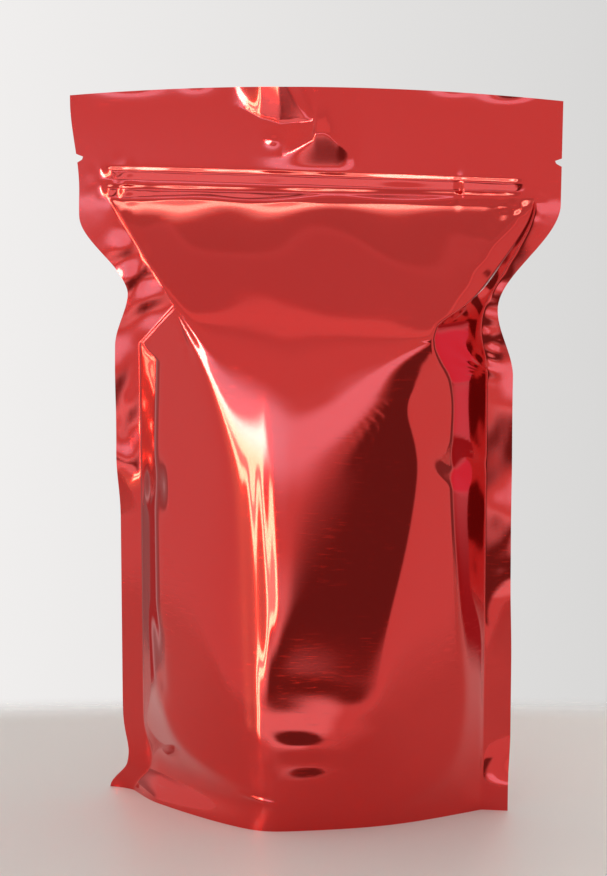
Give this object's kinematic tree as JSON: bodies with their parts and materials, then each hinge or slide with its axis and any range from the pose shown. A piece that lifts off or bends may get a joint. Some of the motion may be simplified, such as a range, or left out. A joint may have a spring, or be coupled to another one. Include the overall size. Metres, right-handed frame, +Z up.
{
  "type": "resealable stand-up pouch",
  "caption": "Plain red metallised film stand-up pouch with a press-to-close zip, tear notches and bottom gusset, shut, filled and standing.",
  "frame": {"origin": "middle of the pouch's box in X and Y, on the plane that its foot stands on", "axes": "+Z up to the header, -Y out of the front face, +X to the right across the front"},
  "size_m": [0.2004, 0.0972, 0.2939],
  "materials": {
    "film": "red metallised film, mirror-like gloss"
  },
  "bodies": {
    "root": {"pouch": "film"}
  },
  "joints": []
}
